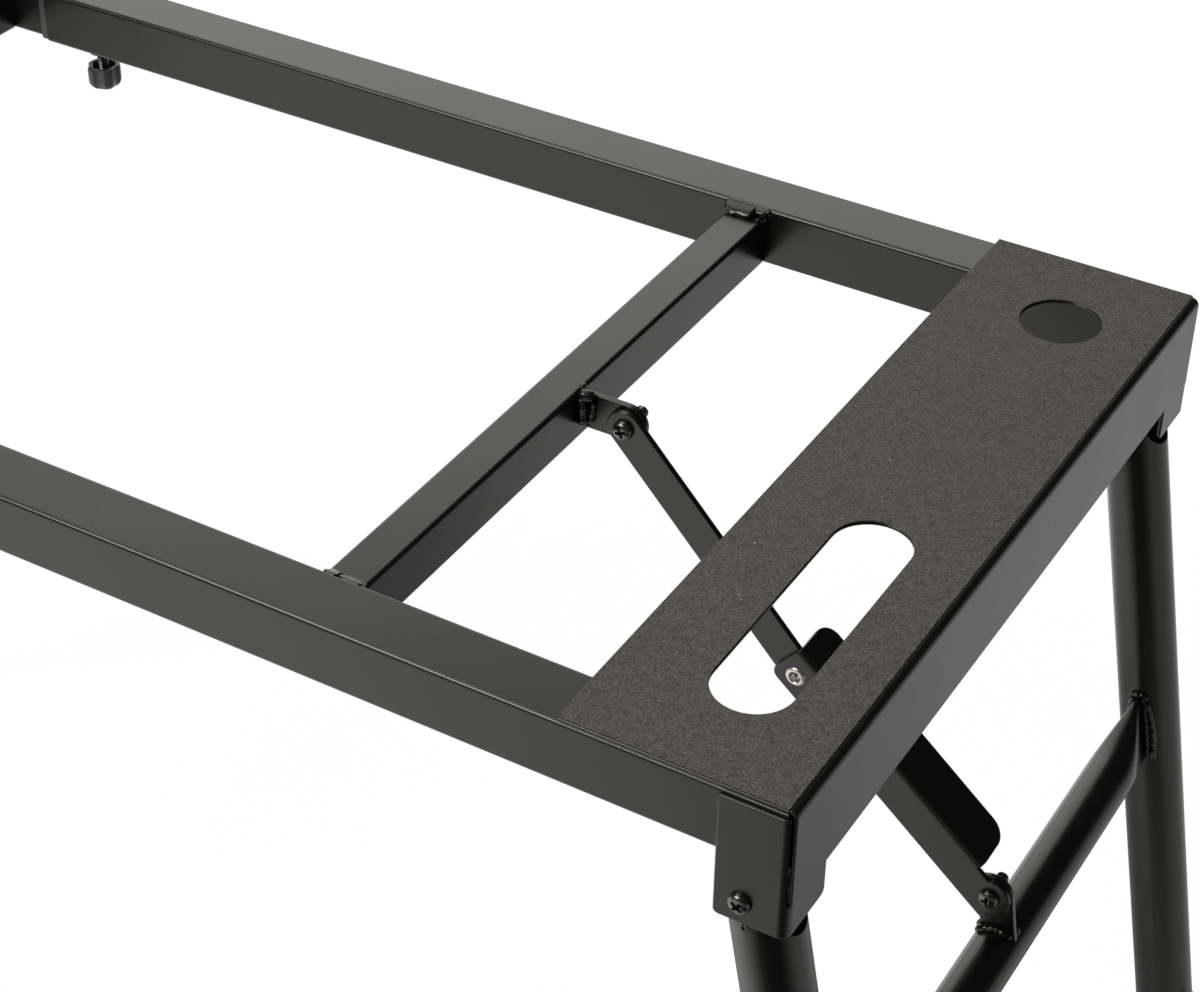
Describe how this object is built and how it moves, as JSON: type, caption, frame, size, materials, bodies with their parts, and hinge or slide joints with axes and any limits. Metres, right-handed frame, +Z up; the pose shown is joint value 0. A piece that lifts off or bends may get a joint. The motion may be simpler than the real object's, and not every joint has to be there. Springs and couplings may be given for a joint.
{
  "type": "folding keyboard stand",
  "caption": "Table-style folding keyboard stand: slotted end plates on square rails that telescope, splayed legs that adjust in height and fold in on jointed braces.",
  "frame": {"origin": "centre of the stand on the floor, at the bottom centre of its box", "axes": "+Z up, X along the rails, +Y to the rear; the end in the picture is at +X"},
  "size_m": [1.1404, 0.4106, 0.7],
  "materials": {
    "powder_coat": "satin black powder coat",
    "grip": "fine grained non-slip sheet",
    "bolt_steel": "black nickel",
    "zinc_steel": "zinc plated",
    "black_plastic": "fine matt",
    "foot_rubber": "matt"
  },
  "bodies": {
    "right_frame": {"end_plate_right": "powder_coat", "grip_sheet_right": "grip", "crossbar_right": "powder_coat", "brace_bracket_right": "powder_coat", "pivot_lugs_right": "powder_coat", "pivot_bolts_right": "bolt_steel", "lock_nuts_right": "zinc_steel", "link_bolt_right": "bolt_steel", "outer_rail_front": "powder_coat", "outer_rail_rear": "powder_coat", "weld_nuts": "zinc_steel", "mouth_collars": "black_plastic"},
    "left_frame": {"end_plate_left": "powder_coat", "grip_sheet_left": "grip", "crossbar_left": "powder_coat", "brace_bracket_left": "powder_coat", "pivot_lugs_left": "powder_coat", "pivot_bolts_left": "bolt_steel", "lock_nuts_left": "zinc_steel", "link_bolt_left": "bolt_steel", "short_rail_front": "powder_coat", "short_rail_rear": "powder_coat", "slide_tube_front": "powder_coat", "slide_tube_rear": "powder_coat"},
    "clamp_knob_front": {"clamp_knob_front": "black_plastic"},
    "clamp_knob_rear": {"clamp_knob_rear": "black_plastic"},
    "leg_frame_right": {"upper_leg_right_front": "powder_coat", "upper_leg_right_rear": "powder_coat", "leg_cross_tube_right": "powder_coat", "leg_bracket_right": "powder_coat", "leg_collars_right": "black_plastic", "lower_pin_right": "bolt_steel"},
    "upper_link_right": {"upper_link_right": "powder_coat"},
    "lower_link_right": {"lower_link_right": "powder_coat", "knee_rivet_right": "zinc_steel", "lower_screw_right": "bolt_steel"},
    "lower_leg_right_front": {"lower_leg_right_front": "powder_coat", "foot_right_front": "foot_rubber"},
    "leg_knob_right_front": {"leg_knob_right_front": "black_plastic"},
    "lower_leg_right_rear": {"lower_leg_right_rear": "powder_coat", "foot_right_rear": "foot_rubber"},
    "leg_knob_right_rear": {"leg_knob_right_rear": "black_plastic"},
    "leg_frame_left": {"upper_leg_left_front": "powder_coat", "upper_leg_left_rear": "powder_coat", "leg_cross_tube_left": "powder_coat", "leg_bracket_left": "powder_coat", "leg_collars_left": "black_plastic", "lower_pin_left": "bolt_steel"},
    "upper_link_left": {"upper_link_left": "powder_coat"},
    "lower_link_left": {"lower_link_left": "powder_coat", "knee_rivet_left": "zinc_steel", "lower_screw_left": "bolt_steel"},
    "lower_leg_left_front": {"lower_leg_left_front": "powder_coat", "foot_left_front": "foot_rubber"},
    "leg_knob_left_front": {"leg_knob_left_front": "black_plastic"},
    "lower_leg_left_rear": {"lower_leg_left_rear": "powder_coat", "foot_left_rear": "foot_rubber"},
    "leg_knob_left_rear": {"leg_knob_left_rear": "black_plastic"}
  },
  "joints": [
    {"name": "width_slide", "type": "slide", "parent": "right_frame", "child": "left_frame", "axis": [-1, 0, 0], "range_m": [-0.0195, 0.4]},
    {"name": "clamp_turn_front", "type": "hinge", "parent": "right_frame", "child": "clamp_knob_front", "pos_m": [-0.1772, -0.185, 0.6538], "axis": [0, 0, 1], "range_deg": [0, 360]},
    {"name": "clamp_turn_rear", "type": "hinge", "parent": "right_frame", "child": "clamp_knob_rear", "pos_m": [-0.1772, 0.185, 0.6538], "axis": [0, 0, 1], "range_deg": [0, 360]},
    {"name": "leg_fold_right", "type": "hinge", "parent": "right_frame", "child": "leg_frame_right", "pos_m": [0.4345, 0, 0.6482], "axis": [0, 1, 0], "range_deg": [0, 93]},
    {"name": "link_swing_right", "type": "hinge", "parent": "right_frame", "child": "upper_link_right", "pos_m": [0.2705, -0.0048, 0.682], "axis": [0, 1, 0], "range_deg": [-48.92, 0.5]},
    {"name": "knee_right", "type": "hinge", "parent": "upper_link_right", "child": "lower_link_right", "pos_m": [0.3614, -0.0065, 0.5842], "axis": [0, 1, 0], "range_deg": [-0.5, 163.55]},
    {"name": "height_slide_right_front", "type": "slide", "parent": "leg_frame_right", "child": "lower_leg_right_front", "axis": [-0.1822, 0, 0.9833], "range_m": [-0.04, 0.21]},
    {"name": "leg_knob_turn_right_front", "type": "hinge", "parent": "leg_frame_right", "child": "leg_knob_right_front", "pos_m": [0.52782, -0.185, 0.27089], "axis": [0.9833, 0, 0.1822], "range_deg": [0, 360]},
    {"name": "height_slide_right_rear", "type": "slide", "parent": "leg_frame_right", "child": "lower_leg_right_rear", "axis": [-0.1822, 0, 0.9833], "range_m": [-0.04, 0.21]},
    {"name": "leg_knob_turn_right_rear", "type": "hinge", "parent": "leg_frame_right", "child": "leg_knob_right_rear", "pos_m": [0.52782, 0.185, 0.27089], "axis": [0.9833, 0, 0.1822], "range_deg": [0, 360]},
    {"name": "leg_fold_left", "type": "hinge", "parent": "left_frame", "child": "leg_frame_left", "pos_m": [-0.4345, 0, 0.6482], "axis": [0, -1, 0], "range_deg": [0, 93]},
    {"name": "link_swing_left", "type": "hinge", "parent": "left_frame", "child": "upper_link_left", "pos_m": [-0.2705, 0.0048, 0.682], "axis": [0, -1, 0], "range_deg": [-48.92, 0.5]},
    {"name": "knee_left", "type": "hinge", "parent": "upper_link_left", "child": "lower_link_left", "pos_m": [-0.3614, 0.0065, 0.5842], "axis": [0, -1, 0], "range_deg": [-0.5, 163.55]},
    {"name": "height_slide_left_front", "type": "slide", "parent": "leg_frame_left", "child": "lower_leg_left_front", "axis": [0.1822, 0, 0.9833], "range_m": [-0.04, 0.21]},
    {"name": "leg_knob_turn_left_front", "type": "hinge", "parent": "leg_frame_left", "child": "leg_knob_left_front", "pos_m": [-0.52782, -0.185, 0.27089], "axis": [-0.9833, 0, 0.1822], "range_deg": [0, 360]},
    {"name": "height_slide_left_rear", "type": "slide", "parent": "leg_frame_left", "child": "lower_leg_left_rear", "axis": [0.1822, 0, 0.9833], "range_m": [-0.04, 0.21]},
    {"name": "leg_knob_turn_left_rear", "type": "hinge", "parent": "leg_frame_left", "child": "leg_knob_left_rear", "pos_m": [-0.52782, 0.185, 0.27089], "axis": [-0.9833, 0, 0.1822], "range_deg": [0, 360]}
  ],
  "couplings": [
    {"joint": "link_swing_right", "follows": "leg_fold_right", "ratio": -0.52067},
    {"joint": "knee_right", "follows": "leg_fold_right", "ratio": 1.7533},
    {"joint": "link_swing_left", "follows": "leg_fold_left", "ratio": -0.52067},
    {"joint": "knee_left", "follows": "leg_fold_left", "ratio": 1.7533}
  ]
}
